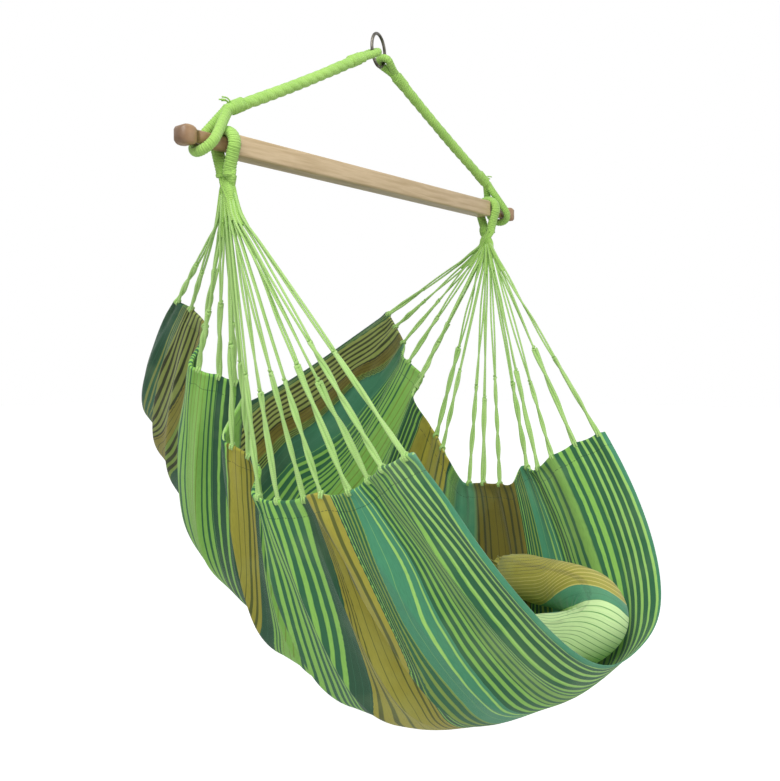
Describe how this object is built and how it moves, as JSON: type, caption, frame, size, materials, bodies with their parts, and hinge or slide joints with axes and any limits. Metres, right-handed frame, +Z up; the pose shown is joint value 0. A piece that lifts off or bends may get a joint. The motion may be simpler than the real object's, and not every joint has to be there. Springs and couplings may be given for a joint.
{
  "type": "hammock chair",
  "caption": "Hanging hammock chair: a striped cloth seat slung on fans of cords from a wooden spreader bar, hung by a rope yoke from a steel ring, with a bolster cushion in the seat.",
  "frame": {"origin": "where a hook bears, at the top of the hanging ring's hole", "axes": "+Z up; +X along the spreader bar, to the right as seen from the front; the sitter faces -Y"},
  "size_m": [1.1, 1.2931, 1.5156],
  "materials": {
    "ring_steel": "bare round steel wire, welded, satin",
    "bar_wood": "pale sanded hardwood, thin clear oil, fine straight grain along the bar",
    "lime_rope": "matt cotton rope with a spiral wrap, whipped loops",
    "lime_cord": "matt cotton cord, doubled and knotted",
    "striped_cloth": "matt woven cotton with lime, green, teal and olive stripes from hem to hem",
    "cushion_cloth": "the same striped cotton, gathered and tied at both ends"
  },
  "bodies": {
    "ring": {"hanging_ring": "ring_steel"},
    "yoke": {"yoke_rope_left": "lime_rope", "ring_seizing_left": "lime_rope", "bar_seizing_left": "lime_rope", "yoke_rope_right": "lime_rope", "ring_seizing_right": "lime_rope", "bar_seizing_right": "lime_rope"},
    "bar": {"spreader_bar": "bar_wood"},
    "seat": {"seat_cloth": "striped_cloth", "harness_loop_left": "lime_rope", "harness_seizing_left": "lime_rope", "hem_cord_left": "lime_cord", "harness_loop_right": "lime_rope", "harness_seizing_right": "lime_rope", "hem_cord_right": "lime_cord", "suspension_cord_left_01": "lime_cord", "suspension_cord_left_02": "lime_cord", "suspension_cord_left_03": "lime_cord", "suspension_cord_left_04": "lime_cord", "suspension_cord_left_05": "lime_cord", "suspension_cord_left_06": "lime_cord", "suspension_cord_left_07": "lime_cord", "suspension_cord_left_08": "lime_cord", "suspension_cord_left_09": "lime_cord", "suspension_cord_left_10": "lime_cord", "suspension_cord_left_11": "lime_cord", "suspension_cord_left_12": "lime_cord", "suspension_cord_left_13": "lime_cord", "suspension_cord_left_14": "lime_cord", "suspension_cord_left_15": "lime_cord", "suspension_cord_left_16": "lime_cord", "suspension_cord_right_01": "lime_cord", "suspension_cord_right_02": "lime_cord", "suspension_cord_right_03": "lime_cord", "suspension_cord_right_04": "lime_cord", "suspension_cord_right_05": "lime_cord", "suspension_cord_right_06": "lime_cord", "suspension_cord_right_07": "lime_cord", "suspension_cord_right_08": "lime_cord", "suspension_cord_right_09": "lime_cord", "suspension_cord_right_10": "lime_cord", "suspension_cord_right_11": "lime_cord", "suspension_cord_right_12": "lime_cord", "suspension_cord_right_13": "lime_cord", "suspension_cord_right_14": "lime_cord", "suspension_cord_right_15": "lime_cord", "suspension_cord_right_16": "lime_cord"},
    "cushion": {"cushion": "cushion_cloth", "cushion_tie_upper": "lime_cord", "cushion_tie_lower": "lime_cord"}
  },
  "joints": [
    {"name": "yoke_swing", "type": "hinge", "parent": "ring", "child": "yoke", "pos_m": [0, 0, -0.032], "axis": [-0.2924, 0.9563, 0], "range_deg": [-20, 20]},
    {"name": "bar_turn", "type": "hinge", "parent": "yoke", "child": "bar", "pos_m": [0, 0, -0.327], "axis": [1, 0, 0], "continuous": true},
    {"name": "seat_swing", "type": "hinge", "parent": "yoke", "child": "seat", "pos_m": [0, 0, -0.327], "axis": [1, 0, 0], "range_deg": [-30, 30]},
    {"name": "cushion_lift", "type": "slide", "parent": "seat", "child": "cushion", "axis": [0, 0, 1], "range_m": [0, 0.5]}
  ]
}
